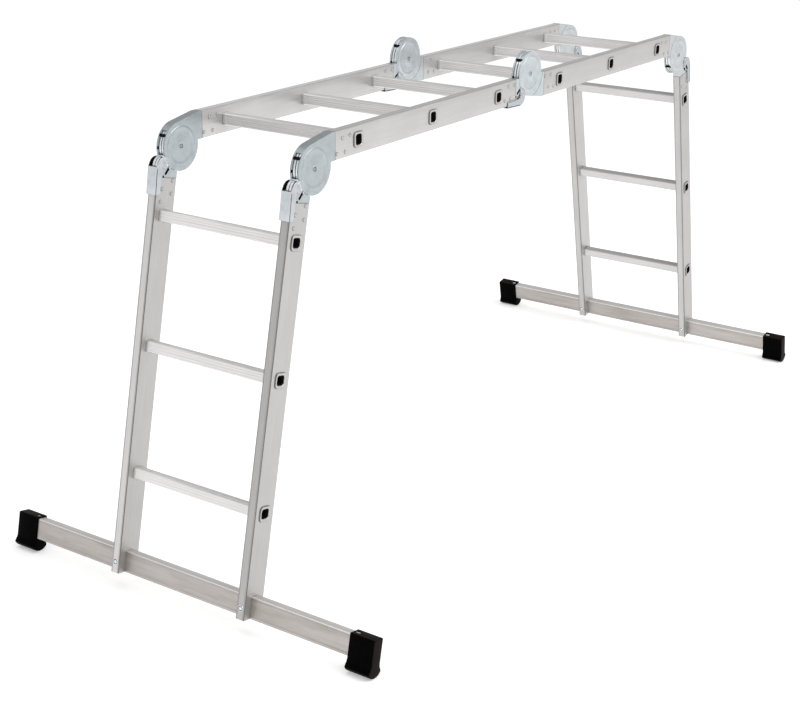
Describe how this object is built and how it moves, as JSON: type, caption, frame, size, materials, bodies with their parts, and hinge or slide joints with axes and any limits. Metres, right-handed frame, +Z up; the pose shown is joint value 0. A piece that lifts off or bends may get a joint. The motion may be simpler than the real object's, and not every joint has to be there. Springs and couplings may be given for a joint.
{
  "type": "folding multi-position ladder",
  "caption": "Hinged aluminium ladder set up as a work platform: level rung deck, leaning legs, wide stabiliser bars with rubber feet, and locking steel hinges.",
  "frame": {"origin": "on the ground, under the middle of the ladder's overall box", "axes": "+X along the platform towards the far leg, +Y along the rungs, +Z up"},
  "size_m": [2.2234, 0.9976, 1.0571],
  "materials": {
    "mill_aluminium": "mill finish with faint drawing lines",
    "ribbed_aluminium": "extruded with anti-slip ribs",
    "zinc_plated_steel": "bluish zinc plating, slightly mottled",
    "bright_steel": "bright plated",
    "black_rubber": "matt moulded rubber"
  },
  "bodies": {
    "near_deck": {"middle_lock_bracket_left": "zinc_plated_steel", "middle_lock_bracket_right": "zinc_plated_steel", "near_corner_disc_bracket_left": "zinc_plated_steel", "near_corner_disc_bracket_right": "zinc_plated_steel", "near_corner_pivot_rivet_left": "bright_steel", "near_corner_pivot_rivet_right": "bright_steel", "near_deck_rung_1": "ribbed_aluminium", "near_deck_rung_2": "ribbed_aluminium", "near_deck_rung_3": "ribbed_aluminium", "near_deck_stile_left": "mill_aluminium", "near_deck_stile_right": "mill_aluminium"},
    "near_leg": {"near_corner_lock_bracket_left": "zinc_plated_steel", "near_corner_lock_bracket_right": "zinc_plated_steel", "near_foot_bolt_left": "bright_steel", "near_foot_bolt_right": "bright_steel", "near_foot_left": "black_rubber", "near_foot_right": "black_rubber", "near_leg_rung_1": "ribbed_aluminium", "near_leg_rung_2": "ribbed_aluminium", "near_leg_rung_3": "ribbed_aluminium", "near_leg_stile_left": "mill_aluminium", "near_leg_stile_right": "mill_aluminium", "near_stabiliser_bar": "mill_aluminium"},
    "far_deck": {"far_corner_disc_bracket_left": "zinc_plated_steel", "far_corner_disc_bracket_right": "zinc_plated_steel", "far_corner_pivot_rivet_left": "bright_steel", "far_corner_pivot_rivet_right": "bright_steel", "far_deck_rung_1": "ribbed_aluminium", "far_deck_rung_2": "ribbed_aluminium", "far_deck_rung_3": "ribbed_aluminium", "far_deck_stile_left": "mill_aluminium", "far_deck_stile_right": "mill_aluminium", "middle_disc_bracket_left": "zinc_plated_steel", "middle_disc_bracket_right": "zinc_plated_steel", "middle_pivot_rivet_left": "bright_steel", "middle_pivot_rivet_right": "bright_steel"},
    "far_leg": {"far_corner_lock_bracket_left": "zinc_plated_steel", "far_corner_lock_bracket_right": "zinc_plated_steel", "far_foot_bolt_left": "bright_steel", "far_foot_bolt_right": "bright_steel", "far_foot_left": "black_rubber", "far_foot_right": "black_rubber", "far_leg_rung_1": "ribbed_aluminium", "far_leg_rung_2": "ribbed_aluminium", "far_leg_rung_3": "ribbed_aluminium", "far_leg_stile_left": "mill_aluminium", "far_leg_stile_right": "mill_aluminium", "far_stabiliser_bar": "mill_aluminium"},
    "far_corner_lock_pin_left": {"far_corner_lock_pin_left": "bright_steel"},
    "far_corner_lock_pin_right": {"far_corner_lock_pin_right": "bright_steel"},
    "far_corner_release_lever_left": {"far_corner_release_lever_left": "zinc_plated_steel"},
    "far_corner_release_lever_right": {"far_corner_release_lever_right": "zinc_plated_steel"},
    "middle_lock_pin_left": {"middle_lock_pin_left": "bright_steel"},
    "middle_lock_pin_right": {"middle_lock_pin_right": "bright_steel"},
    "middle_release_lever_left": {"middle_release_lever_left": "zinc_plated_steel"},
    "middle_release_lever_right": {"middle_release_lever_right": "zinc_plated_steel"},
    "near_corner_lock_pin_left": {"near_corner_lock_pin_left": "bright_steel"},
    "near_corner_lock_pin_right": {"near_corner_lock_pin_right": "bright_steel"},
    "near_corner_release_lever_left": {"near_corner_release_lever_left": "zinc_plated_steel"},
    "near_corner_release_lever_right": {"near_corner_release_lever_right": "zinc_plated_steel"}
  },
  "joints": [
    {"name": "near_leg_hinge", "type": "hinge", "parent": "near_deck", "child": "near_leg", "pos_m": [-0.85236, 0, 0.93629], "axis": [0, 1, 0], "range_deg": [-102.2, 77.8]},
    {"name": "middle_hinge", "type": "hinge", "parent": "near_deck", "child": "far_deck", "pos_m": [0.00264, 0, 1.00449], "axis": [0, -1, 0], "range_deg": [0, 180]},
    {"name": "far_leg_hinge", "type": "hinge", "parent": "far_deck", "child": "far_leg", "pos_m": [0.85764, 0, 0.93629], "axis": [0, 1, 0], "range_deg": [-78.01, 101.99]},
    {"name": "near_corner_release_lever_left_turn", "type": "hinge", "parent": "near_leg", "child": "near_corner_release_lever_left", "pos_m": [-0.90288, 0.17625, 0.91038], "axis": [0, 1, 0], "range_deg": [0, 35], "stiffness_Nm_per_rad": 0.5, "springref_deg": -22.92},
    {"name": "near_corner_lock_pin_left_slide", "type": "slide", "parent": "near_leg", "child": "near_corner_lock_pin_left", "axis": [-0.7157, 0, -0.6984], "range_m": [0, 0.0106]},
    {"name": "near_corner_release_lever_right_turn", "type": "hinge", "parent": "near_leg", "child": "near_corner_release_lever_right", "pos_m": [-0.90288, -0.17625, 0.91038], "axis": [0, 1, 0], "range_deg": [0, 35], "stiffness_Nm_per_rad": 0.5, "springref_deg": -22.92},
    {"name": "near_corner_lock_pin_right_slide", "type": "slide", "parent": "near_leg", "child": "near_corner_lock_pin_right", "axis": [-0.7157, 0, -0.6984], "range_m": [0, 0.0106]},
    {"name": "middle_release_lever_left_turn", "type": "hinge", "parent": "near_deck", "child": "middle_release_lever_left", "pos_m": [-0.03336, 0.17625, 0.96059], "axis": [0, -1, 0], "range_deg": [0, 35], "stiffness_Nm_per_rad": 0.5, "springref_deg": -22.92},
    {"name": "middle_lock_pin_left_slide", "type": "slide", "parent": "near_deck", "child": "middle_lock_pin_left", "axis": [-0.8339, 0, -0.5519], "range_m": [0, 0.0106]},
    {"name": "middle_release_lever_right_turn", "type": "hinge", "parent": "near_deck", "child": "middle_release_lever_right", "pos_m": [-0.03336, -0.17625, 0.96059], "axis": [0, -1, 0], "range_deg": [0, 35], "stiffness_Nm_per_rad": 0.5, "springref_deg": -22.92},
    {"name": "middle_lock_pin_right_slide", "type": "slide", "parent": "near_deck", "child": "middle_lock_pin_right", "axis": [-0.8339, 0, -0.5519], "range_m": [0, 0.0106]},
    {"name": "far_corner_release_lever_left_turn", "type": "hinge", "parent": "far_leg", "child": "far_corner_release_lever_left", "pos_m": [0.90806, 0.17625, 0.91019], "axis": [0, -1, 0], "range_deg": [0, 35], "stiffness_Nm_per_rad": 0.5, "springref_deg": -22.92},
    {"name": "far_corner_lock_pin_left_slide", "type": "slide", "parent": "far_leg", "child": "far_corner_lock_pin_left", "axis": [0.7131, 0, -0.701], "range_m": [0, 0.0106]},
    {"name": "far_corner_release_lever_right_turn", "type": "hinge", "parent": "far_leg", "child": "far_corner_release_lever_right", "pos_m": [0.90806, -0.17625, 0.91019], "axis": [0, -1, 0], "range_deg": [0, 35], "stiffness_Nm_per_rad": 0.5, "springref_deg": -22.92},
    {"name": "far_corner_lock_pin_right_slide", "type": "slide", "parent": "far_leg", "child": "far_corner_lock_pin_right", "axis": [0.7131, 0, -0.701], "range_m": [0, 0.0106]}
  ],
  "couplings": [
    {"joint": "near_corner_lock_pin_left_slide", "follows": "near_corner_release_lever_left_turn", "m_per_rad": 0.01719},
    {"joint": "near_corner_lock_pin_right_slide", "follows": "near_corner_release_lever_right_turn", "m_per_rad": 0.01719},
    {"joint": "middle_lock_pin_left_slide", "follows": "middle_release_lever_left_turn", "m_per_rad": 0.01719},
    {"joint": "middle_lock_pin_right_slide", "follows": "middle_release_lever_right_turn", "m_per_rad": 0.01719},
    {"joint": "far_corner_lock_pin_left_slide", "follows": "far_corner_release_lever_left_turn", "m_per_rad": 0.01719},
    {"joint": "far_corner_lock_pin_right_slide", "follows": "far_corner_release_lever_right_turn", "m_per_rad": 0.01719}
  ]
}
